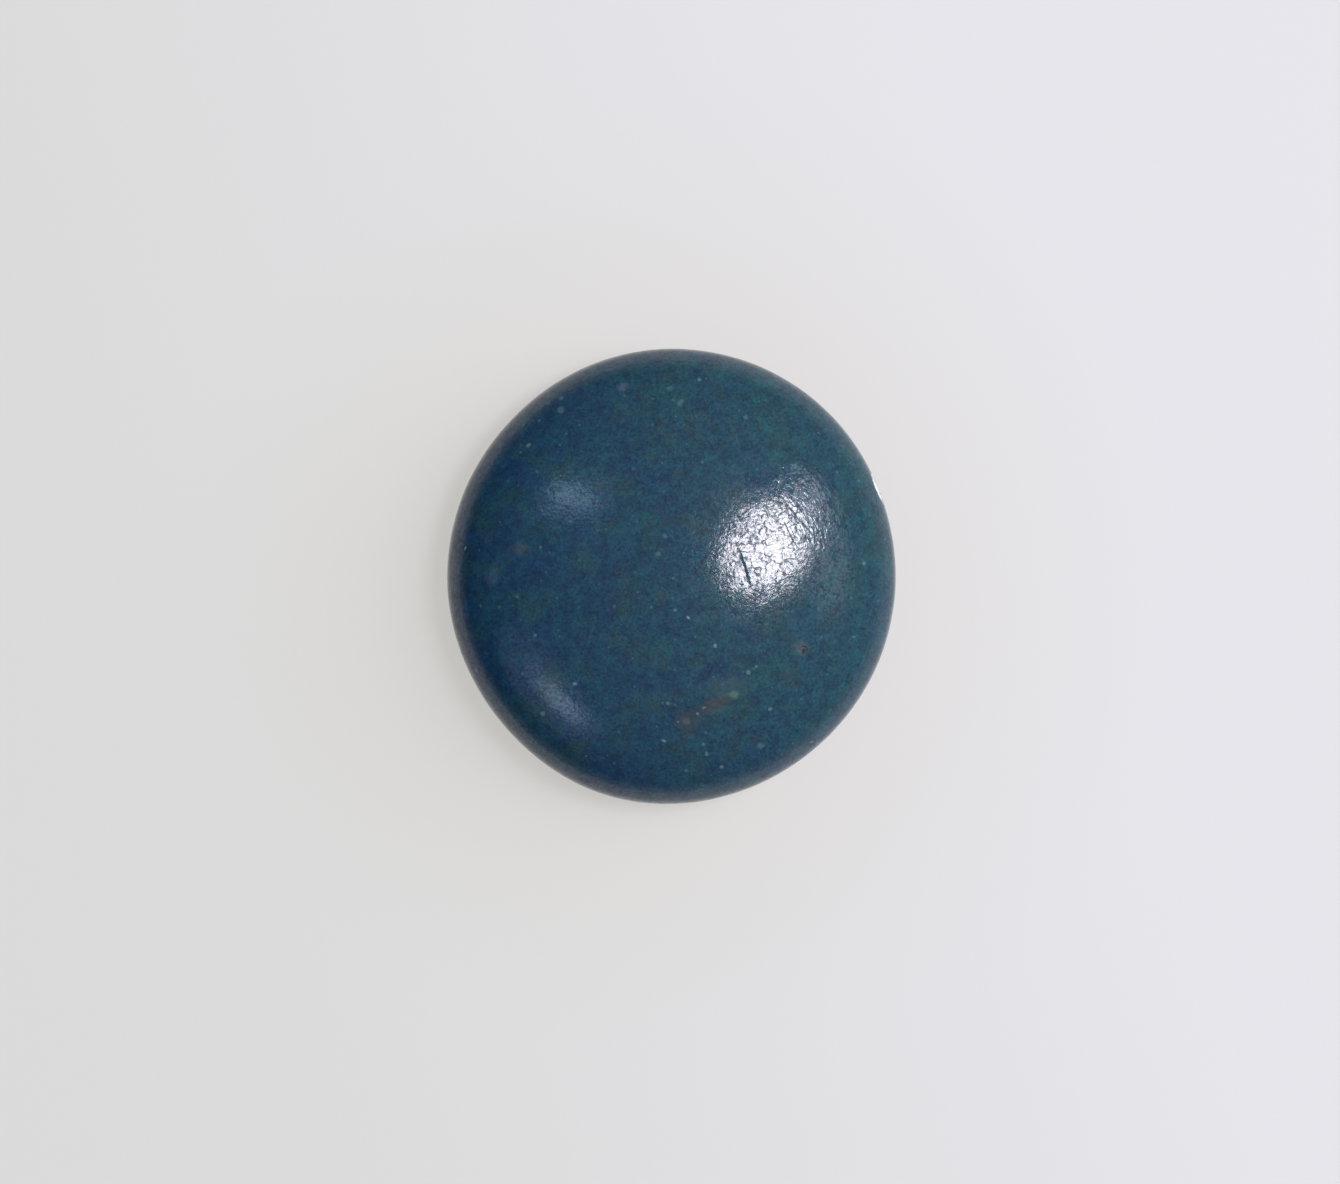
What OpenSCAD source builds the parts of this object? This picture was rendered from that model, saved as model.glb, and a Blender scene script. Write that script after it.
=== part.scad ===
// Polished stone: a low domed, slightly oval round of dark teal stone, ground flat underneath.
// It lies on the plane z = 0 with its dome up, and its centre line is the Z axis.

/* [Outline] */
// Size across the outline's short axis
width_across = 17.96; // [15:0.02:24]
// Size along the outline's long axis
length_along = 18.28; // [15:0.02:24]
// Angle from +Y towards +X at which the long axis lies
long_axis_lean = 13; // [0:1:90]

/* [Section] */
// Height from the flat base to the top of the dome
stone_h = 5.0; // [3.6:0.1:8]
// Height of the girdle, the widest line round the edge
girdle_h = 1.8; // [1:0.05:3]
// Size of the ground flat across the short axis
base_w = 13.5; // [8:0.1:14.6]

/* [Edge chip] */
// Direction of the chip, in degrees from +X towards +Y
chip_turn = 22.7; // [0:0.1:360]
// Slope of the chipped face, in degrees from level
chip_slope = 80; // [60:1:82]
// Depth of the chip below the edge
chip_depth = 0.08; // [0.04:0.01:0.16]
// Radius of the hollow that the flake left
chip_hollow_r = 10; // [6:0.5:20]

/* [Open pore] */
// Direction of the pore, in degrees from +X towards +Y
pore_turn = -29.1; // [-180:0.1:180]
// Distance of the pore from the centre line
pore_out = 6.02; // [1:0.02:6.6]
// Radius of the pore's hollow
pore_r = 0.2; // [0.1:0.02:0.4]
// Depth of the pore below the dome
pore_depth = 0.12; // [0.05:0.01:0.18]

/* [Hidden] */
$fn = 128;

stone_teal = [0.17, 0.28, 0.36];

half_w = width_across / 2;
half_l = length_along / 2;
crown_h = stone_h - girdle_h;
// The underside is part of a half ellipsoid this deep, which the ground flat cuts off.
under_depth = girdle_h / sqrt(1 - pow(base_w / width_across, 2));
// Cutting blocks stand this far clear of the stone.
clear = 1;
block_w = max(width_across, length_along) + 2 * clear;

// Distance from the centre line to the girdle in a direction.
function reach(turn) =
    let (from_short = turn + long_axis_lean)
    1 / sqrt(pow(cos(from_short) / half_w, 2) + pow(sin(from_short) / half_l, 2));

// Height of the dome at a distance from the centre line, in a direction.
function dome_height(turn, out) = girdle_h + crown_h * sqrt(1 - pow(out / reach(turn), 2));

// Slope of the dome there, in degrees from level.
function dome_slope(turn, out) = atan(crown_h / reach(turn) / sqrt(pow(reach(turn) / out, 2) - 1));

// Distance from the centre line at which the dome has a slope.
function slope_at(turn, slope) = reach(turn) * cos(atan(crown_h / reach(turn) / tan(slope)));

// Oval ellipsoid centred on the girdle's plane.
module oval_ball(depth) {
    translate([0, 0, girdle_h])
    rotate([0, 0, -long_axis_lean])
    scale([1, length_along / width_across, depth / half_w])
    sphere(r = half_w);
}

// What the children have between two heights.
module between(low, high) {
    intersection() {
        children();
        translate([-block_w / 2, -block_w / 2, low]) cube([block_w, block_w, high - low]);
    }
}

// The stone before wear: the dome and the underside meet edge to edge at the girdle.
module blank() {
    between(girdle_h, stone_h + clear) oval_ball(crown_h);
    between(0, girdle_h) oval_ball(under_depth);
}

// Ball that hollows the dome to a depth, square to its surface.
module scoop(turn, out, r, depth) {
    slope = dome_slope(turn, out);
    lift = r - depth;
    centre = [out + lift * sin(slope), 0, dome_height(turn, out) + lift * cos(slope)];
    rotate([0, 0, turn]) translate(centre) sphere(r = r);
}

module stone() {
    color(stone_teal)
    difference() {
        blank();
        scoop(chip_turn, slope_at(chip_turn, chip_slope), chip_hollow_r, chip_depth);
        scoop(pore_turn, pore_out, pore_r, pore_depth);
    }
}

stone();
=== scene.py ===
# %% [markdown]
# # A polished stone on a pale sheet
#
# The stone is a low, slightly oval dome of dark teal rock. It is ground flat underneath and
# polished by hand on top. Its place and height come from the loaded frame. This script gives it
# a skin that shows how it was worked, and lights it like a small thing under a camera stand.

# %% Load the frame
import math

import bpy
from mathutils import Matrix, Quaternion, Vector


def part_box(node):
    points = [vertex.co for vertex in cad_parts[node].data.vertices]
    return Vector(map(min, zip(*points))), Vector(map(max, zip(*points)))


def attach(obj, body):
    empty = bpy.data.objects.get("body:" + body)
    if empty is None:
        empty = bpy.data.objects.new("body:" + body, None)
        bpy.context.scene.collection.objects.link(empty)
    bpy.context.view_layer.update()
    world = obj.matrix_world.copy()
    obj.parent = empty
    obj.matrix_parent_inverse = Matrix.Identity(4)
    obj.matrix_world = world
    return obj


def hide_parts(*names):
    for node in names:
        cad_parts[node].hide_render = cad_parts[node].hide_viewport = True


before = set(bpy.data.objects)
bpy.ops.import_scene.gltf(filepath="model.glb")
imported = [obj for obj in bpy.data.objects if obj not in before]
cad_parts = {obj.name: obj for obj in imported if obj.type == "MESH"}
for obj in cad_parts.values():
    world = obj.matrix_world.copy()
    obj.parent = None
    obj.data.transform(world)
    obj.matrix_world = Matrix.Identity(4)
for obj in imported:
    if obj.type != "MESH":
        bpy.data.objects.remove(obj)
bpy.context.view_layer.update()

MM = 0.001  # a millimetre in scene units

low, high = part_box("stone")
STONE_H = high[2] - low[2]
print("stone box, mm:", [round((b - a) / MM, 2) for a, b in zip(low, high)])

# %% [markdown]
# ## The main sizes
#
# No hand-turned round is a true circle, so the outline has a long and a short axis. The section
# has two heights: the girdle, which is the widest line round the edge, and the top. These are
# the solid's own sizes, so the detailed stone fills the same space.

# %% Sizes of the stone
LEAN = math.radians(13)  # the long axis leans this far from +Y towards +X
HALF_W = 8.98 * MM
HALF_L = 9.14 * MM
GIRDLE_H = 1.8 * MM
CROWN_H = STONE_H - GIRDLE_H
BASE_W = 13.5 * MM  # width of the ground flat
UNDER_DEPTH = GIRDLE_H / math.sqrt(1 - (BASE_W / (2 * HALF_W)) ** 2)
print("depth of the whole underside, mm:", round(UNDER_DEPTH / MM, 2))

# %% [markdown]
# ## Places on the dome
#
# Chips, grooves and inclusions all sit on the dome, but it is easiest to say where they are from
# above. These two helpers turn a direction or a place seen from above into a point and a slope
# on the smooth dome, from the formula of an ellipsoid.


# %% From above to the dome
def reach(turn):
    """Distance from the middle to the girdle in a direction, in radians from +X."""
    from_short = turn + LEAN
    return 1 / math.hypot(math.cos(from_short) / HALF_W, math.sin(from_short) / HALF_L)


def on_dome(x, y):
    """Point of the smooth dome over a place, and its slope from level."""
    turn, out = math.atan2(y, x), math.hypot(x, y)
    share = min(out / reach(turn), 0.999)
    drop = math.sqrt(1 - share**2)
    slope = math.atan(CROWN_H / reach(turn) * share / drop)
    return Vector((x, y, GIRDLE_H + CROWN_H * drop)), slope


print("slope 8 mm out, degrees:", round(math.degrees(on_dome(8 * MM, 0)[1])))

# %% [markdown]
# ## The blank
#
# A ball made from a cube has four-sided faces everywhere and no pole on top, where the triangles
# of a globe would show in the polish. The cube is subdivided and a Cast modifier pushes it out
# to a ball.


# %% Selecting in code
def only(piece):
    """Select one object alone and make it active."""
    bpy.ops.object.select_all(action="DESELECT")
    piece.select_set(True)
    bpy.context.view_layer.objects.active = piece


def select_faces(piece, test):
    """Open edit mode with the faces selected that pass a test."""
    only(piece)
    bpy.ops.object.mode_set(mode="EDIT")
    bpy.ops.mesh.select_mode(type="FACE")
    bpy.ops.mesh.select_all(action="DESELECT")
    bpy.ops.object.mode_set(mode="OBJECT")
    for face in piece.data.polygons:
        face.select = test(face)
    bpy.ops.object.mode_set(mode="EDIT")


# %% Ball from a cube
BALL_CUTS = 55  # an odd number puts a row of corners on the girdle

bpy.ops.object.select_all(action="DESELECT")
bpy.ops.mesh.primitive_cube_add(size=2)
stone = bpy.context.object
stone.name = "polished_stone"
bpy.ops.object.mode_set(mode="EDIT")
bpy.ops.mesh.subdivide(number_cuts=BALL_CUTS)
bpy.ops.object.mode_set(mode="OBJECT")

ball = stone.modifiers.new("ball", "CAST")
ball.cast_type = "SPHERE"
ball.factor = 1
ball.use_radius_as_size = False
ball.size = 1
bpy.ops.object.modifier_apply(modifier=ball.name)
print("faces of the ball:", len(stone.data.polygons))

# %% [markdown]
# ## Two different halves
#
# A stone like this is low above its girdle and deeper below it, where the ground flat cuts it
# off. So each half of the ball is squashed towards the girdle by its own amount, and the whole
# is then stretched to the oval, turned to its lean and lifted to its height.

# %% Squash each half
for half, depth in ((1, CROWN_H), (-1, UNDER_DEPTH)):
    select_faces(stone, lambda face: face.center.z * half > 0)
    bpy.ops.transform.resize(value=(1, 1, depth / HALF_W), center_override=(0, 0, 0))
    bpy.ops.object.mode_set(mode="OBJECT")

# %% Stretch, turn and lift
stone.scale = (HALF_W, HALF_L, HALF_W)
stone.rotation_euler = (0, 0, -LEAN)
stone.location = (0, 0, GIRDLE_H)
only(stone)
bpy.ops.object.transform_apply(location=True, rotation=True, scale=True)
print("blank, mm:", [round(side / MM, 2) for side in stone.dimensions])

# %% [markdown]
# ## Grinding the underside
#
# Bisect cuts away what lies under the level of the base and fills the cut with one flat face.
# Corners this close together would be merged by Bisect's usual threshold, so it is set lower.

# %% Flat base
select_faces(stone, lambda face: True)
bpy.ops.mesh.bisect(
    plane_co=(0, 0, 0),
    plane_no=(0, 0, 1),
    use_fill=True,
    clear_inner=True,
    threshold=1e-8,
)
bpy.ops.object.mode_set(mode="OBJECT")
print("faces with the flat base:", len(stone.data.polygons))

# %% [markdown]
# ## A finer dome
#
# The polish shows relief a fraction of a millimetre across, so the dome needs smaller faces than
# the underside, which has none. Subdivide with smoothness keeps the new corners on the curve.

# %% Subdivide above the girdle
DOME_CUTS = 2

select_faces(stone, lambda face: face.center.z > GIRDLE_H)
bpy.ops.mesh.subdivide(number_cuts=DOME_CUTS, smoothness=1)
bpy.ops.object.mode_set(mode="OBJECT")
print("faces with the finer dome:", len(stone.data.polygons))

# %% [markdown]
# ## The outline
#
# Grinding by hand leaves faint flats round the edge, where the stone was held to the wheel a
# little longer. Each flat is a shallow, smooth dip in the radius. They only take away, and they
# fade towards the top, so the dome stays smooth and the stone stays inside its solid. No edit
# operator moves corners by their direction, so a loop does it.

# %% Where the wheel took more
FLATS = [
    # direction and half width in degrees, share of the radius taken in the middle
    (20, 25, 0.003),
    (135, 30, 0.004),
    (218, 40, 0.012),
    (300, 50, 0.008),
]


def flat_share(turn):
    """How much the outline keeps of the plain oval's radius in a direction, in radians."""
    taken = 0
    for at, half_width, share in FLATS:
        off = (math.degrees(turn) - at + 180) % 360 - 180
        if abs(off) < half_width:
            taken += share * (1 + math.cos(math.pi * off / half_width)) / 2
    return 1 - taken


# %% Grind the flats
for vertex in stone.data.vertices:
    x, y, z = vertex.co
    # A place on the dome moves by its own distance from the middle, and the crown stays round.
    out = math.hypot(x, y) / HALF_W
    keep = 1 + (flat_share(math.atan2(y, x)) - 1) * min(out, 1) ** 2
    vertex.co.x *= keep
    vertex.co.y *= keep
stone.data.update()
print("outline, mm:", [round(side / MM, 2) for side in stone.dimensions[:2]])

# %% [markdown]
# ## Relief left by polishing
#
# Under the polish the surface still rolls a little, and it is dimpled like orange peel, because
# hard and soft grains wear at different speeds. Displace modifiers with procedural textures do
# this on the mesh itself. They pull the surface in only, so the stone doesn't grow. A vertex
# group holds them off the ground flat.

# %% Where the relief reaches
above = stone.vertex_groups.new(name="dome")
for vertex in stone.data.vertices:
    weight = min(max(vertex.co.z / GIRDLE_H, 0), 1)
    above.add([vertex.index], weight, "REPLACE")

# %% Displace the dome
RELIEF = [
    # name, size of its features, depth
    ("roll", 2.6 * MM, 0.014 * MM),
    ("peel", 0.42 * MM, 0.0045 * MM),
]

for name, size, depth in RELIEF:
    texture = bpy.data.textures.new(name, "CLOUDS")
    texture.noise_scale = size
    texture.noise_depth = 1
    modifier = stone.modifiers.new(name, "DISPLACE")
    modifier.texture = texture
    modifier.texture_coords = "LOCAL"
    modifier.vertex_group = above.name
    modifier.mid_level = 1
    modifier.strength = depth
    only(stone)
    bpy.ops.object.modifier_apply(modifier=name)
    print(name, "deep, mm:", depth / MM)

# %% [markdown]
# ## Chip and pore
#
# A flake has sprung off the edge and left a shallow shell-shaped hollow, and one gas pore has
# been cut open by the polishing. Each is the mark of a ball, so each is cut with one. A Boolean
# keeps the mesh closed. The ball is removed after the cut, and its middle is kept, to find the
# faces that it left.

# %% Sizes of the hollows
CHIP_TURN = math.radians(22.7)
CHIP_SLOPE = math.radians(80)
CHIP_DEPTH = 0.08 * MM
CHIP_BALL = 10 * MM
PORE_TURN = math.radians(-29.1)
PORE_OUT = 6.02 * MM
PORE_DEPTH = 0.12 * MM
PORE_BALL = 0.2 * MM

chip_reach = reach(CHIP_TURN)
chip_out = chip_reach * math.cos(math.atan(CROWN_H / chip_reach / math.tan(CHIP_SLOPE)))
print("chip, mm from the middle:", round(chip_out / MM, 2))


# %% Cutting with a ball
def scoop(piece, turn, out, radius, depth):
    """Cut a ball-shaped hollow square to the dome, and return the ball's middle and radius."""
    place, slope = on_dome(out * math.cos(turn), out * math.sin(turn))
    flat = math.sin(slope)
    up = Vector((flat * math.cos(turn), flat * math.sin(turn), math.cos(slope)))
    middle = place + up * (radius - depth)
    bpy.ops.object.select_all(action="DESELECT")
    bpy.ops.mesh.primitive_ico_sphere_add(subdivisions=5, radius=radius, location=middle)
    tool = bpy.context.object
    cut = piece.modifiers.new("scoop", "BOOLEAN")
    cut.operation = "DIFFERENCE"
    cut.object = tool
    only(piece)
    bpy.ops.object.modifier_apply(modifier=cut.name)
    bpy.data.objects.remove(tool, do_unlink=True)
    return middle, radius


def hollow_faces(piece, middle, radius):
    """Faces that lie on the ball a hollow was cut with."""
    near = radius + 0.0005 * MM
    return [face for face in piece.data.polygons if (face.center - middle).length < near]


# %% Cut the hollows
pore_cut = scoop(stone, PORE_TURN, PORE_OUT, PORE_BALL, PORE_DEPTH)
chip_cut = scoop(stone, CHIP_TURN, chip_out, CHIP_BALL, CHIP_DEPTH)
print("faces of the pore:", len(hollow_faces(stone, *pore_cut)))
print("faces of the chip:", len(hollow_faces(stone, *chip_cut)))

# %% [markdown]
# ## Smooth shading
#
# The dome is one smooth surface, but the rims of the chip, the pore and the ground flat are
# crisp. Shading smooth by angle gives both: only edges sharper than the angle stay sharp.

# %% Smooth by angle
SHARP_ANGLE = math.radians(16)

only(stone)
bpy.ops.object.shade_smooth_by_angle(angle=SHARP_ANGLE)
stone.data.update()
triangles = sum(len(face.vertices) - 2 for face in stone.data.polygons)
print("triangles of the stone:", triangles)

# %% [markdown]
# ## Materials
#
# Every pattern below is read in millimetres from the stone's own coordinates, so that a feature
# 0.2 across in a node is 0.2 mm across on the stone. A few helpers keep the node code short:
# each adds one node, sets or links its inputs, and returns its result.


# %% Adding a node
def node(tree, kind, inputs=None, **settings):
    """Add a node, set its options, and set or link its inputs by name or number."""
    made = tree.nodes.new(kind)
    for key, value in settings.items():
        setattr(made, key, value)
    for key, value in (inputs or {}).items():
        if isinstance(value, bpy.types.NodeSocket):
            tree.links.new(value, made.inputs[key])
        else:
            made.inputs[key].default_value = value
    return made


# %% Helpers for numbers and vectors
def maths(tree, operation, *values, clamp=False):
    """Add a Math node and return its result."""
    inputs = dict(enumerate(values))
    return node(tree, "ShaderNodeMath", inputs, operation=operation, use_clamp=clamp).outputs[0]


def between(tree, value, start, end, low=0.0, high=1.0):
    """Add a smooth step from one value to another and return its result."""
    inputs = {0: value, 1: start, 2: end, 3: low, 4: high}
    return node(tree, "ShaderNodeMapRange", inputs, interpolation_type="SMOOTHSTEP").outputs[0]


def vectors(tree, operation, *values, **named):
    """Add a Vector Math node and return its result."""
    inputs = {**dict(enumerate(values)), **named}
    made = node(tree, "ShaderNodeVectorMath", inputs, operation=operation)
    return made.outputs["Value" if operation in ("LENGTH", "DOT_PRODUCT") else "Vector"]


def parts_of(tree, vector):
    """Split a vector and return its X, Y and Z."""
    return node(tree, "ShaderNodeSeparateXYZ", {0: vector}).outputs


# %% Helpers for colours and patterns
def blend(tree, share, first, second, how="MIX"):
    """Add a colour Mix node and return its result."""
    inputs = {0: share, 6: first, 7: second}
    return node(tree, "ShaderNodeMix", inputs, data_type="RGBA", blend_type=how).outputs[2]


def noise(tree, vector, scale, detail=2.0, roughness=0.5, output="Fac"):
    """Add a Noise Texture and return its value or its colour."""
    inputs = {"Vector": vector, "Scale": scale, "Detail": detail, "Roughness": roughness}
    return node(tree, "ShaderNodeTexNoise", inputs).outputs[output]


def cells(tree, vector, scale, feature="F1"):
    """Add a Voronoi Texture and return its outputs."""
    inputs = {"Vector": vector, "Scale": scale}
    return node(tree, "ShaderNodeTexVoronoi", inputs, feature=feature).outputs


def draw_lots(tree, cell):
    """Three random numbers for each cell of a Voronoi Texture, from its colour."""
    return node(tree, "ShaderNodeSeparateColor", {0: cell["Color"]}).outputs


# %% [markdown]
# ## Node groups
#
# What more than one finish uses is built once, as a node group with named inputs and outputs.
# A group here gives only a colour, a mask or a height. The shader stays in each material.


# %% Making and placing a group
def new_group(name, inputs, outputs):
    """Make a node group with named sockets and return its tree, input node and output node."""
    tree = bpy.data.node_groups.new(name, "ShaderNodeTree")
    for title, kind, value in inputs:
        socket = tree.interface.new_socket(
            name=title, in_out="INPUT", socket_type="NodeSocket" + kind
        )
        if value is not None:
            socket.default_value = value
    for title, kind in outputs:
        tree.interface.new_socket(name=title, in_out="OUTPUT", socket_type="NodeSocket" + kind)
    given = tree.nodes.new("NodeGroupInput").outputs
    out = tree.nodes.new("NodeGroupOutput").inputs
    return tree, given, out


def use(tree, group, inputs):
    """Place a group in a tree and return its outputs."""
    return node(tree, "ShaderNodeGroup", inputs, node_tree=group).outputs


# %% [markdown]
# ### The rock
#
# The body of the rock is a fine-grained mass. It drifts between navy and teal over a few
# millimetres, with greyer clouds, and every grain differs a little from the next. Four noises
# of different size do this: the slow ones choose the colour and the fast one its brightness.

# %% Rock group: four sizes of noise
rock, given, out = new_group(
    "rock body",
    [
        ("Vector", "Vector", None),
        ("Deep", "Color", None),
        ("Teal", "Color", None),
        ("Grey", "Color", None),
        ("Side shade", "Float", 0.5),
    ],
    [("Color", "Color")],
)
drift = noise(rock, given["Vector"], 0.45, 3.0, 0.55)
clouds = noise(rock, given["Vector"], 0.8, 4.0, 0.6)
patches = noise(rock, given["Vector"], 2.0, 4.0, 0.65)
grains = noise(rock, given["Vector"], 9.0, 3.0, 0.75)

# %% Rock group: the colour
slow = maths(rock, "MULTIPLY", maths(rock, "SUBTRACT", drift, 0.5), 1.4)
quick = maths(rock, "MULTIPLY", maths(rock, "SUBTRACT", patches, 0.5), 1.4)
# The Side shade input shifts the share between deep and teal. Where the polished face feeds it a
# ramp, that ramp is painted side shade; at 0.5 there is none.
share = maths(rock, "ADD", maths(rock, "ADD", given["Side shade"], slow), quick, clamp=True)
body = blend(rock, share, given["Deep"], given["Teal"])
body = blend(rock, between(rock, clouds, 0.48, 0.68), body, given["Grey"])

# %% Rock group: the brightness
light = between(rock, grains, 0.25, 0.75, 0.65, 1.35)
level = maths(rock, "MULTIPLY", light, between(rock, patches, 0.3, 0.7, 0.80, 1.20))
grey = node(rock, "ShaderNodeCombineColor", {0: level, 1: level, 2: level}).outputs[0]
rock.links.new(blend(rock, 1.0, body, grey, "MULTIPLY"), out["Color"])
print("nodes of the rock group:", len(rock.nodes))

# %% [markdown]
# ### Specks
#
# Specks are pale grains that lie anywhere. A Voronoi Texture scatters one point in each cell.
# Random numbers from the cell's colour choose which cells have a grain, how big it is and how
# pale.

# %% Specks group
specks, given, out = new_group(
    "pale specks",
    [
        ("Vector", "Vector", None),
        ("Scale", "Float", 1.0),
        ("Size", "Float", 0.1),
        ("Share", "Float", 0.5),
    ],
    [("Mask", "Float")],
)
points = cells(specks, given["Vector"], given["Scale"])
lot = draw_lots(specks, points)
chosen = maths(specks, "LESS_THAN", lot[0], given["Share"])
size = maths(specks, "MULTIPLY", given["Size"], maths(specks, "ADD", lot[1], 0.5))
edge = maths(specks, "DIVIDE", points["Distance"], size)
mask = maths(specks, "MULTIPLY", between(specks, edge, 1.0, 0.5), chosen)
pale = maths(specks, "MULTIPLY", mask, maths(specks, "ADD", lot[2], 0.3), clamp=True)
specks.links.new(pale, out["Mask"])
print("nodes of the specks group:", len(specks.nodes))

# %% [markdown]
# ### One spot
#
# A spot is one soft oval at a chosen place. It serves for inclusions, worn places and grooves.
# The place is taken away from the coordinates, which are then turned and divided by the spot's
# half sizes, so the edge of the oval is at a distance of 1. A little noise makes it uneven.

# %% Spot group
spot, given, out = new_group(
    "one spot",
    [
        ("Vector", "Vector", None),
        ("Place", "Vector", None),
        ("Turn", "Float", 0.0),
        ("Size", "Vector", None),
        ("Softness", "Float", 0.4),
        ("Wobble", "Float", 0.3),
    ],
    [("Mask", "Float")],
)
offset = vectors(spot, "SUBTRACT", given["Vector"], given["Place"])
back = {"Vector": offset, "Angle": maths(spot, "MULTIPLY", given["Turn"], -1.0)}
turned = node(spot, "ShaderNodeVectorRotate", back, rotation_type="Z_AXIS").outputs[0]
away = vectors(spot, "LENGTH", vectors(spot, "DIVIDE", turned, given["Size"]))

# %% Spot group: uneven and soft edge
uneven = maths(spot, "SUBTRACT", noise(spot, given["Vector"], 5.0, 3.0, 0.6), 0.5)
uneven = maths(spot, "MULTIPLY", uneven, maths(spot, "MULTIPLY", given["Wobble"], 4.0))
away = maths(spot, "ADD", away, uneven)
inner = maths(spot, "SUBTRACT", 1.0, given["Softness"])
outer = maths(spot, "ADD", 1.0, given["Softness"])
spot.links.new(between(spot, away, outer, inner), out["Mask"])
print("nodes of the spot group:", len(spot.nodes))

# %% [markdown]
# ### Wrinkles of the polish
#
# Up close the polish is broken by a net of fine cracks, pits and the lines of the wheel. They
# can be seen only where a lamp is mirrored, because there the shine is lost. So the group gives
# two things: a height, which roughens the mirror image, and a gloss, which is 0 where the shine
# is gone. A dark line made by gloss doesn't catch the light elsewhere, as a real groove would.

# %% Wrinkles group: bent coordinates
wrinkles, given, out = new_group(
    "polish wrinkles",
    [
        ("Vector", "Vector", None),
        ("Grain", "Float", 0.003),
        ("Streaks", "Float", 0.0),
        ("Wear", "Float", 1.0),
        ("Crystals", "Float", 0.4),
    ],
    [("Height", "Float"), ("Gloss", "Float")],
)
bend = noise(wrinkles, given["Vector"], 2.6, 3.0, output="Color")
bent = vectors(wrinkles, "ADD", given["Vector"], vectors(wrinkles, "SCALE", bend, Scale=0.6))

# %% Wrinkles group: net of cracks, with finer seams
cracks = cells(wrinkles, bent, 2.2, "DISTANCE_TO_EDGE")["Distance"]
there = between(wrinkles, noise(wrinkles, given["Vector"], 1.6), 0.34, 0.52)
net = maths(wrinkles, "MULTIPLY", between(wrinkles, cracks, 0.02, 0.11, 0.66, 0.0), there)
seams = cells(wrinkles, bent, 5.5, "DISTANCE_TO_EDGE")["Distance"]
seams = between(wrinkles, seams, 0.02, 0.15, 0.42, 0.0)

# %% Wrinkles group: pits
dots = cells(wrinkles, bent, 3.6)
lot = draw_lots(wrinkles, dots)
pit_size = maths(wrinkles, "ADD", maths(wrinkles, "MULTIPLY", lot[1], 0.15), 0.2)
pit = between(wrinkles, dots["Distance"], pit_size, 0.1)
chosen = maths(wrinkles, "LESS_THAN", lot[0], 0.25)
pit = maths(wrinkles, "MULTIPLY", pit, maths(wrinkles, "MULTIPLY", chosen, 0.95))

# %% [markdown]
# The wheel leaves marks that run round the stone. Noise read by distance and direction from the
# middle, in place of X and Y, is drawn out into arcs. Where that noise passes its middle value
# there is a thin line.


# %% Wrinkles group: marks of the wheel
def round_noise(ring_scale, swing_scale):
    """Noise drawn out round the middle, less its middle value."""
    places = {
        0: maths(wrinkles, "MULTIPLY", ring, ring_scale),
        1: maths(wrinkles, "MULTIPLY", swing, swing_scale),
    }
    laid = node(wrinkles, "ShaderNodeCombineXYZ", places).outputs[0]
    return maths(wrinkles, "SUBTRACT", noise(wrinkles, laid, 1.0), 0.5)


xyz = parts_of(wrinkles, given["Vector"])
squares = [maths(wrinkles, "POWER", xyz[axis], 2.0) for axis in (0, 1)]
ring = maths(wrinkles, "SQRT", maths(wrinkles, "ADD", *squares))
swing = maths(wrinkles, "ARCTAN2", xyz[1], xyz[0])
lines = maths(wrinkles, "ABSOLUTE", round_noise(3.2, 2.2))
lines = between(wrinkles, lines, 0.003, 0.016, 0.5, 0.0)
brush = round_noise(8.0, 18.0)

# %% Wrinkles group: height
grain = maths(wrinkles, "SUBTRACT", noise(wrinkles, given["Vector"], 8.0, 2.0, 0.55), 0.5)
grain = maths(wrinkles, "MULTIPLY", grain, given["Grain"])
streaks = maths(wrinkles, "MULTIPLY", brush, given["Streaks"])
wrinkles.links.new(maths(wrinkles, "ADD", grain, streaks), out["Height"])

# %% Wrinkles group: gloss
crystals = noise(wrinkles, given["Vector"], 8.0, 2.0, 0.6)
crystals = between(wrinkles, crystals, 0.36, 0.58, 1.0, 0.0)
crystals = maths(wrinkles, "MULTIPLY", crystals, given["Crystals"])
broad = maths(wrinkles, "MAXIMUM", net, pit)
thin = maths(wrinkles, "MAXIMUM", seams, lines)
lost = maths(wrinkles, "MULTIPLY", maths(wrinkles, "ADD", broad, thin), given["Wear"])
lost = maths(wrinkles, "ADD", lost, crystals)
wrinkles.links.new(maths(wrinkles, "SUBTRACT", 1.0, lost, clamp=True), out["Gloss"])
print("nodes of the wrinkles group:", len(wrinkles.nodes))

# %% [markdown]
# ## Finishes
#
# The stone has four: the polished face, the bruised chip, the open pore and the ground base.
# Colours are given as on a paint chart, from 0 to 255, and turned into the straight scale that
# shaders use.


# %% Colours and coordinates
def tone(red, green, blue):
    """Colour for a shader from the 0 to 255 values of a paint chart."""
    def straight(value):
        value /= 255
        return value / 12.92 if value <= 0.04045 else ((value + 0.055) / 1.055) ** 2.4

    return (straight(red), straight(green), straight(blue), 1)


def new_finish(name):
    """Make a material and return it, its tree, its shader and coordinates in millimetres."""
    material = bpy.data.materials.new(name)
    material.use_nodes = True
    tree = material.node_tree
    where = node(tree, "ShaderNodeTexCoord").outputs["Object"]
    to_mm = {"Vector": where, "Scale": (1 / MM, 1 / MM, 1 / MM)}
    vector = node(tree, "ShaderNodeMapping", to_mm).outputs[0]
    return material, tree, tree.nodes["Principled BSDF"], vector


# %% Placing the groups
def rock_colour(tree, vector, deep, teal, grey, side_shade=0.5):
    """Place the rock group with three tones and a share of painted side shade."""
    inputs = {"Vector": vector, "Deep": deep, "Teal": teal, "Grey": grey, "Side shade": side_shade}
    return use(tree, rock, inputs)["Color"]


def speck_mask(tree, vector, scale, size, share):
    """Place the specks group."""
    inputs = {"Vector": vector, "Scale": scale, "Size": size, "Share": share}
    return use(tree, specks, inputs)["Mask"]


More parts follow.
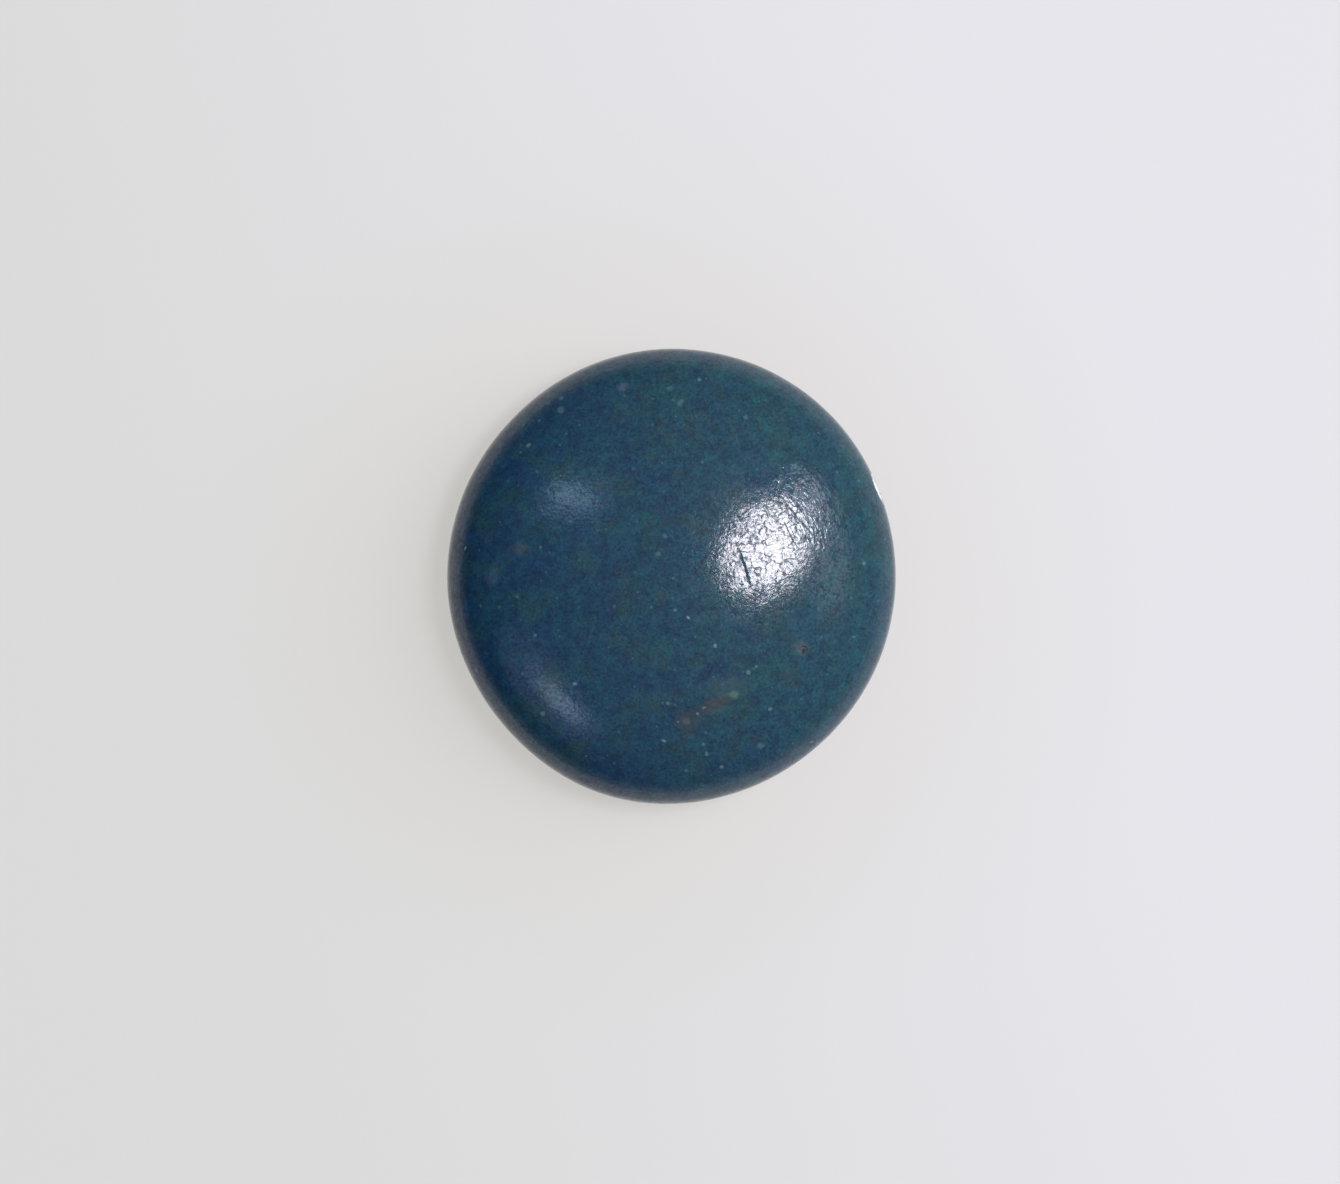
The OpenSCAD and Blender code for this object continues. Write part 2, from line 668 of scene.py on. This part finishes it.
def spot_mask(tree, vector, place, size, turn, softness, wobble):
    """Place the spot group. The place and half sizes are in mm, the turn is in degrees."""
    return use(tree, spot, {
        "Vector": vector,
        "Place": place,
        "Turn": math.radians(turn),
        "Size": size,
        "Softness": softness,
        "Wobble": wobble,
    })["Mask"]


def over(x, y):
    """Place in mm on the dome, from x and y in mm."""
    return on_dome(x * MM, y * MM)[0] / MM


# %% [markdown]
# ### Inclusions
#
# Grains of other minerals are frozen in the rock: a brown streak with an olive tip, a rusty halo
# round a pink core, faint ash-grey clouds and small white crystals. They are few and each has
# its own place, so they are laid over the rock one by one.

# %% Colours of the inclusions
BROWN = tone(58, 57, 60)
RUST = tone(50, 54, 60)
OLIVE = tone(82, 114, 96)
MOSS = tone(58, 84, 80)
PINK = tone(104, 112, 112)
LILAC = tone(92, 100, 122)
PALE = tone(98, 128, 138)
ASH = tone(84, 90, 94)
WHITE = tone(140, 176, 188)
DARK = tone(18, 26, 32)

# %% Places of the inclusions
INCLUSIONS = [
    # colour, strength, x and y in mm, half length, half width, turn in degrees
    (MOSS, 0.34, 2.16, -4.36, 0.80, 0.42, 10),
    (BROWN, 0.64, 1.66, -5.10, 0.68, 0.27, 25),
    (OLIVE, 0.13, 2.18, -4.70, 0.36, 0.06, 18),
    (OLIVE, 0.50, 2.50, -4.69, 0.17, 0.15, 0),
    (PALE, 0.06, 1.92, -5.34, 0.55, 0.07, 14),
    (RUST, 0.58, 0.60, -5.75, 0.44, 0.40, 0),
    (PINK, 0.24, 0.60, -5.76, 0.14, 0.13, 0),
    (ASH, 0.20, 0.78, -6.33, 0.13, 0.10, 0),
    (ASH, 0.38, 5.16, -2.84, 0.28, 0.26, 0),
    (BROWN, 0.16, 4.75, -4.00, 0.35, 0.50, 20),
    (LILAC, 0.40, -1.95, 7.55, 0.19, 0.15, 20),
    (PALE, 0.34, -4.41, 6.64, 0.13, 0.12, 0),
    (PALE, 0.20, -0.05, 7.49, 0.12, 0.10, 0),
    (PALE, 0.24, 0.36, 6.92, 0.15, 0.09, 60),
    (PALE, 0.60, -5.69, 5.24, 0.09, 0.06, 40),
    (RUST, 0.40, -2.84, 3.63, 0.20, 0.17, 0),
    (ASH, 0.22, -6.02, 1.12, 0.34, 0.24, 0),
    (DARK, 0.50, -5.78, 0.99, 0.11, 0.08, 60),
    (DARK, 0.50, -8.16, 1.00, 0.10, 0.07, 60),
    (WHITE, 0.45, -8.22, 1.14, 0.07, 0.03, 70),
    (RUST, 0.42, -0.44, -0.72, 0.17, 0.26, 0),
    (WHITE, 0.45, 0.67, -1.63, 0.08, 0.04, 140),
    (WHITE, 0.30, 1.73, -2.75, 0.06, 0.08, 0),
    (WHITE, 0.32, -3.84, -4.26, 0.08, 0.06, 0),
    (WHITE, 0.28, 1.04, -5.45, 0.05, 0.05, 0),
    (WHITE, 0.24, 1.30, -5.21, 0.07, 0.04, 20),
    (WHITE, 0.20, 0.26, -5.77, 0.04, 0.04, 0),
    (WHITE, 0.30, -0.30, -6.53, 0.09, 0.05, -20),
    (PALE, 0.40, -0.14, -5.04, 0.07, 0.06, 0),
    (PALE, 0.40, 1.26, -6.67, 0.06, 0.06, 0),
    (PALE, 0.40, 1.40, -7.05, 0.06, 0.09, 0),
    (PALE, 0.45, 3.93, -5.27, 0.09, 0.07, 30),
    (PALE, 0.28, 3.54, -6.73, 0.12, 0.12, 0),
    (PALE, 0.45, 3.37, -3.57, 0.06, 0.05, 0),
    (PALE, 0.30, 7.28, -2.40, 0.06, 0.05, 0),
    (PALE, 0.26, -0.26, 1.62, 0.12, 0.07, 150),
    (PALE, 0.45, 0.15, -1.33, 0.07, 0.06, 0),
    (PALE, 0.14, -7.12, -0.01, 0.26, 0.34, 0),
]
print("inclusions:", len(INCLUSIONS))


# %% Laying the inclusions
def lay_inclusions(tree, vector, colour):
    """Lay every inclusion over a colour and return the result."""
    for paint, strength, x, y, length, width, turn in INCLUSIONS:
        size = (length, width, 0.6)
        mask = spot_mask(tree, vector, over(x, y), size, turn, softness=0.55, wobble=0.22)
        colour = blend(tree, maths(tree, "MULTIPLY", mask, strength), colour, paint)
    return colour


# %% [markdown]
# ### The polished face
#
# One material covers the dome and the edge. Its colour is built in layers: the rock, with
# painted side shade that makes it darker and bluer on the left and lighter and greener on the
# right, where the light comes from, then fine and coarse specks, then the inclusions.

# %% Polished face: colour
polished, tree, shader, vector = new_finish("polished teal stone")

xyz = parts_of(tree, vector)
# Painted side shade: the share of teal rises from left to right, so the dome is darker on the
# left and lighter on the right, where the light comes from.
across = maths(tree, "ADD", xyz[0], maths(tree, "MULTIPLY", xyz[1], 0.25))
side_shade = between(tree, across, -9.0, 9.0, 0.25, 0.75)
colour = rock_colour(tree, vector, tone(14, 48, 80), tone(15, 62, 71), tone(25, 58, 70), side_shade)
fine = speck_mask(tree, vector, 2.6, 0.16, 0.6)
coarse = speck_mask(tree, vector, 1.1, 0.10, 0.55)
colour = blend(tree, maths(tree, "MULTIPLY", fine, 0.22), colour, PALE)
colour = blend(tree, maths(tree, "MULTIPLY", coarse, 0.45), colour, PALE)
colour = lay_inclusions(tree, vector, colour)
tree.links.new(colour, shader.inputs["Base Color"])
print("nodes of the polished face so far:", len(tree.nodes))

# %% [markdown]
# The polish isn't worn the same all over. It is most crazed on one shoulder of the dome, where
# the stone was handled, and beside that lies a patch that a coarse wheel has brushed. Towards
# the girdle the crystals are finer and lose less shine.

# %% Polished face: where it is worn
brushed = spot_mask(tree, vector, over(5.6, 2.7), (2.2, 1.05, 2.0), -55, 0.6, 0.2)
crazed = spot_mask(tree, vector, over(4.2, 1.3), (3.6, 3.0, 3.0), 30, 0.4, 0.1)
skin = use(tree, wrinkles, {
    "Vector": vector,
    "Grain": between(tree, brushed, 0.0, 1.0, 0.0042, 0.0050),
    "Streaks": between(tree, brushed, 0.0, 1.0, 0.0, 0.0145),
    "Wear": between(tree, crazed, 0.0, 1.0, 0.35, 1.0),
    "Crystals": between(tree, xyz[2], 2.4, 3.4, 0.12, 0.42),
})

# %% [markdown]
# Five scratches are deep enough to show as grooves. Each is a long, thin spot taken from the
# height.

# %% Polished face: grooves
GROOVES = [
    # x and y of the middle in mm, half length, half width, turn in degrees, depth
    (2.83, 0.33, 0.62, 0.12, -72, 0.010),
    (4.77, 1.71, 0.55, 0.07, -64, 0.006),
    (5.10, 2.33, 0.60, 0.07, -50, 0.006),
    (4.20, -0.10, 0.35, 0.04, 80, 0.002),
    (3.55, 2.00, 0.35, 0.05, 60, 0.002),
]

height = skin["Height"]
for x, y, length, width, turn, depth in GROOVES:
    size = (length, width, 1.0)
    groove = spot_mask(tree, vector, over(x, y), size, turn, softness=0.6, wobble=0.15)
    height = maths(tree, "SUBTRACT", height, maths(tree, "MULTIPLY", groove, depth))
print("grooves:", len(GROOVES))

# %% [markdown]
# The shine is a clear coat over a duller body. The gloss mask takes the coat away in the cracks
# and pits, and the body under it mirrors little, so they turn dark in the highlight and stay
# hidden elsewhere. The bump goes to the body and to the coat.

# %% Polished face: shine
bumped = {"Height": height, "Strength": 1.0, "Distance": MM}
bump = node(tree, "ShaderNodeBump", bumped).outputs[0]
tree.links.new(bump, shader.inputs["Normal"])
tree.links.new(bump, shader.inputs["Coat Normal"])
tree.links.new(skin["Gloss"], shader.inputs["Coat Weight"])
shader.inputs["Coat Roughness"].default_value = 0.10
shader.inputs["Coat IOR"].default_value = 1.6
shader.inputs["Specular IOR Level"].default_value = 0.13
shader.inputs["Roughness"].default_value = 0.2

# %% [markdown]
# ### The bruised chip
#
# Where a flake has sprung off, the rock is crushed to pale crumbs that scatter the light. They
# lie in the middle of the hollow, and its border is plain broken rock, duller than the polish.

# %% Bruised chip
bruised, tree, shader, vector = new_finish("bruised chip")

crumbs = between(tree, noise(tree, vector, 5.0, 3.0, 0.6), 0.38, 0.56)
crushed = blend(tree, crumbs, tone(168, 184, 194), tone(240, 242, 245))
broken = rock_colour(tree, vector, tone(44, 80, 102), tone(54, 92, 106), tone(74, 96, 106))
chip_x, chip_y = (chip_out / MM * part(CHIP_TURN) for part in (math.cos, math.sin))
middle = over(chip_x, chip_y) + Vector((-0.05, 0.13, 0.04))
along_edge = math.degrees(CHIP_TURN) + 90
bruise = spot_mask(tree, vector, middle, (0.66, 1.0, 0.34), along_edge, 0.25, 0.30)
tree.links.new(blend(tree, bruise, broken, crushed), shader.inputs["Base Color"])
shader.inputs["Roughness"].default_value = 0.7
print("middle of the bruise, mm:", [round(side, 2) for side in middle])

# %% [markdown]
# ### The open pore
#
# The pore has never been polished and holds a little grime, which makes its wall matt. The wall
# has one dark spot of painted shade at the bottom, where the hollow lies in shade. A glossy wall
# would catch a bright bead of light, which a dirty pore doesn't.

# %% Open pore
grimy_pore_and_painted_shade, tree, shader, vector = new_finish("open pore")

wall = rock_colour(tree, vector, tone(60, 74, 84), tone(70, 84, 92), tone(84, 88, 90))
# Painted shade: a dark spot at the bottom of the pore, where the hollow is in shade.
painted_pore_shade = spot_mask(tree, vector, over(5.24, -2.98), (0.11, 0.06, 0.5), 75, 0.35, 0.1)
tree.links.new(blend(tree, painted_pore_shade, wall, tone(40, 47, 55)), shader.inputs["Base Color"])
shader.inputs["Roughness"].default_value = 0.85
shader.inputs["Specular IOR Level"].default_value = 0.2

# %% [markdown]
# ### The ground base
#
# The underside was left as it came from a coarse wheel: paler, matt and scratched in a few
# directions. Noise that is drawn out twenty times gives straight scratches. They lower the
# surface and hold a little dust.

# %% Ground base: rock and specks
ground, tree, shader, vector = new_finish("ground base")

colour = rock_colour(tree, vector, tone(52, 82, 100), tone(58, 92, 102), tone(80, 98, 104))
coarse = speck_mask(tree, vector, 1.1, 0.12, 0.5)
colour = blend(tree, maths(tree, "MULTIPLY", coarse, 0.5), colour, tone(128, 146, 150))

# %% Ground base: scratches
SCRATCHES = [(20, 1.0), (62, 0.6), (-35, 0.4)]  # direction in degrees, strength
SCRATCH_DEPTH = 0.006  # in mm

scratched = 0.0
for turn, strength in SCRATCHES:
    drawn = {
        "Vector": vector,
        "Rotation": (0, 0, math.radians(turn)),
        "Scale": (0.5, 11.0, 1.0),
    }
    laid = node(tree, "ShaderNodeMapping", drawn).outputs[0]
    line = between(tree, noise(tree, laid, 1.0, 3.0, 0.65), 0.40, 0.47, 1.0, 0.0)
    scratched = maths(tree, "ADD", scratched, maths(tree, "MULTIPLY", line, strength))
dusty = maths(tree, "MULTIPLY", scratched, 0.16, clamp=True)
colour = blend(tree, dusty, colour, tone(150, 164, 168))
tree.links.new(colour, shader.inputs["Base Color"])

# %% Ground base: bump and roughness
height = maths(tree, "MULTIPLY", scratched, -SCRATCH_DEPTH)
bumped = {"Height": height, "Strength": 1.0, "Distance": MM}
tree.links.new(node(tree, "ShaderNodeBump", bumped).outputs[0], shader.inputs["Normal"])
rough = between(tree, noise(tree, vector, 1.5, 3.0, 0.6), 0.3, 0.7, 0.5, 0.7)
tree.links.new(rough, shader.inputs["Roughness"])
print("scratch directions:", [turn for turn, strength in SCRATCHES])

# %% [markdown]
# ## Giving each face its finish
#
# The polished finish comes first, so every face has it to begin with. The hollows are found by
# the balls that cut them, and the base by its level. Then the stone is tied to the frame: it
# moves with the root body, and the plain solid is hidden, so the stone stands for it.

# %% Finish of each face
for material in (polished, bruised, grimy_pore_and_painted_shade, ground):
    stone.data.materials.append(material)
for face in hollow_faces(stone, *chip_cut):
    face.material_index = 1
for face in hollow_faces(stone, *pore_cut):
    face.material_index = 2
for face in stone.data.polygons:
    if face.center.z < 0.001 * MM and face.normal.z < -0.9:
        face.material_index = 3

finishes = [face.material_index for face in stone.data.polygons]
print("faces of each finish:", [finishes.count(index) for index in range(4)])

# %% Tie the stone to the frame
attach(stone, "root")
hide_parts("stone")

# %% [markdown]
# ## The sheet
#
# The stone lies on a pale sheet. Most of the sheet's brightness is a glow that only the camera
# and mirror rays see, so it looks white and throws no light up at the stone. The rest is an
# ordinary grey, which takes the stone's shadow. It is a hair lower than the base, because two
# faces at the same level would flicker.

# %% Sheet
bpy.ops.object.select_all(action="DESELECT")
bpy.ops.mesh.primitive_plane_add(size=4, location=(0, 0, -0.02 * MM))
sheet = bpy.context.object
sheet.name = "pale_sheet"
paper = bpy.data.materials.new("pale sheet")
paper.use_nodes = True
tree = paper.node_tree
shader = tree.nodes["Principled BSDF"]
shader.inputs["Roughness"].default_value = 0.9
shader.inputs["Specular IOR Level"].default_value = 0.0
shader.inputs["Base Color"].default_value = (0.18, 0.18, 0.18, 1)

# %% [markdown]
# The glow has painted light and painted shadow in it: it is brighter and cooler on the right,
# where the light comes from, and darker and warmer on the left and round the stone, as painted
# shadow. Mirrors see less of it far away, so the rim of the stone keeps its dark.

# %% Glow of the sheet
place = node(tree, "ShaderNodeTexCoord").outputs["Object"]
away = vectors(tree, "LENGTH", place)
side = vectors(tree, "DOT_PRODUCT", place, (0.94, 0.34, 0))
# Painted light: the glow is brighter and cooler towards the right, where the light comes from,
# and darker on the left.
left, right = (0.500, 0.499, 0.487, 1), (0.570, 0.567, 0.597, 1)
tint = blend(tree, between(tree, side, -0.026, 0.02), left, right)
# Painted shadow: round the stone the glow is darker and warmer.
painted_shadow_tint = blend(tree, 1.0, tint, (0.975, 0.955, 0.905, 1), "MULTIPLY")
tint = blend(tree, between(tree, away, 0.0095, 0.021, 1.0, 0.0), tint, painted_shadow_tint)

ray = node(tree, "ShaderNodeLightPath").outputs
near = between(tree, away, 0.02, 0.15, 1.0, 0.55)
mirrored = maths(tree, "MULTIPLY", ray["Is Glossy Ray"], near)
seen = maths(tree, "MAXIMUM", ray["Is Camera Ray"], mirrored)
glow = node(tree, "ShaderNodeEmission", {"Color": tint, "Strength": seen})
both = node(tree, "ShaderNodeAddShader", {0: shader.outputs[0], 1: glow.outputs[0]})
tree.links.new(both.outputs[0], tree.nodes["Material Output"].inputs["Surface"])

sheet.data.materials.append(paper)

# %% [markdown]
# ## The lights
#
# A lamp beside the camera makes the broken highlight, and a wide soft window lights the stone
# from the right. Two weak lamps glance off the left. A lamp's mirror image on the dome has the
# lamp's own outline, so an oval lamp gives an oval highlight, and lamps of different size laid
# over each other give it a soft border. Each lamp is set by the level of light that it gives on
# a level sheet, from which its power is worked out.

# %% Lamp by direction and level
AIM = Vector((0, 0, GIRDLE_H))


def lamp(name, turn, from_top, size, level, tint, spin=0, distance=0.5, mirrored=True):
    """Add an oval soft light, by angles in degrees and sizes in metres."""
    turn, from_top = math.radians(turn), math.radians(from_top)
    flat = math.sin(from_top)
    away = Vector((flat * math.cos(turn), flat * math.sin(turn), math.cos(from_top)))
    light = bpy.data.lights.new(name, "AREA")
    light.shape = "ELLIPSE"
    light.size, light.size_y = size
    light.color = tint
    light.energy = level * math.pi * 4 * distance**2 / math.cos(from_top)
    piece = bpy.data.objects.new(name, light)
    bpy.context.scene.collection.objects.link(piece)
    piece.location = AIM + away * distance
    facing = away.to_track_quat("Z", "Y") @ Quaternion((0, 0, 1), math.radians(spin))
    piece.rotation_euler = facing.to_euler()
    piece.visible_glossy = mirrored


# %% Lamp beside the camera, and the window
STAND_SPIN = -71

lamp("stand lamp", 17, 22, (0.20, 0.135), 0.415, (1.0, 0.95, 1.02), STAND_SPIN)
lamp("lamp halo", 25, 36, (0.18, 0.12), 0.036, (0.97, 0.93, 1.05), STAND_SPIN)
lamp("lamp haze", 14, 41, (0.32, 0.22), 0.034, (0.98, 0.94, 1.06))
lamp("soft window", 13, 60, (0.5, 0.5), 0.24, (0.96, 0.98, 1.0), distance=0.6, mirrored=False)

# %% Glances on the left
HIGH_TINT = (0.54, 0.84, 1.04)
HIGH_SPIN = -74
LOW_TINT = (0.72, 0.90, 1.14)

lamp("left glance high haze", 142, 29, (0.22, 0.10), 0.0070, HIGH_TINT, HIGH_SPIN)
lamp("left glance high", 142.5, 29, (0.130, 0.035), 0.0070, HIGH_TINT, HIGH_SPIN)
lamp("left glance high core", 142.5, 29, (0.085, 0.014), 0.0034, HIGH_TINT, HIGH_SPIN)
lamp("left glance low haze", 222, 48, (0.32, 0.26), 0.0110, (0.72, 0.92, 1.10))
lamp("left glance low", 225, 45, (0.18, 0.12), 0.0070, LOW_TINT)
lamp("left glance low core", 227, 44, (0.11, 0.07), 0.0055, LOW_TINT)

# %% [markdown]
# ## The sky
#
# A soft sky fills in from all round. It is brighter overhead and to the right, and has a band
# near the horizon that draws the bright line along the stone's rim. On the left it is bluer. The
# camera sees a plain pale backdrop in its place.

# %% Sky: brightness
sky = bpy.data.worlds.new("soft white sky")
bpy.context.scene.world = sky
sky.use_nodes = True
tree = sky.node_tree
axis = parts_of(tree, node(tree, "ShaderNodeTexCoord").outputs["Generated"])
glow = maths(tree, "ADD", maths(tree, "MULTIPLY", axis[2], 0.2), 0.2)
glow = maths(tree, "ADD", glow, maths(tree, "MULTIPLY", axis[0], 0.2))
glow = maths(tree, "ADD", glow, maths(tree, "MULTIPLY", axis[1], 0.06))
glow = maths(tree, "MAXIMUM", glow, 0.05)
glow = maths(tree, "ADD", glow, between(tree, axis[2], 0.0, 0.28, 0.30, 0.0))

# %% Sky: backdrop and colour
background = tree.nodes["Background"].inputs
backdrop = node(tree, "ShaderNodeLightPath").outputs["Is Camera Ray"]
choice = {0: backdrop, 2: glow, 3: 0.78}
level = node(tree, "ShaderNodeMix", choice, data_type="FLOAT").outputs[0]
white = maths(tree, "MAXIMUM", between(tree, axis[0], -0.9, 0.2), backdrop)
tint = blend(tree, white, (0.74, 0.94, 1.08, 1), (1, 1, 1, 1))
tree.links.new(level, background["Strength"])
tree.links.new(tint, background["Color"])

# %% [markdown]
# ## The camera
#
# The camera looks straight down, as on a copy stand. From its height and the size of one pixel
# at the girdle comes the length of the lens.

# %% Camera
FRAME_PX = (1340, 1184)
STONE_PX = (671.45, 576.7)  # where the stone's middle stands in the frame
PX = 0.04 * MM  # one pixel at the girdle
CAMERA_H = 0.4

eye = bpy.data.cameras.new("camera")
camera = bpy.data.objects.new("camera", eye)
bpy.context.scene.collection.objects.link(camera)
right = (FRAME_PX[0] / 2 - STONE_PX[0]) * PX
up = (STONE_PX[1] - FRAME_PX[1] / 2) * PX
camera.location = (right, up, CAMERA_H)
eye.sensor_width = 36
eye.lens = eye.sensor_width * (CAMERA_H - GIRDLE_H) / (FRAME_PX[0] * PX)
eye.clip_start = 0.01
bpy.context.scene.camera = camera
bpy.context.scene.view_settings.view_transform = "Standard"
print("lens, mm:", round(eye.lens))
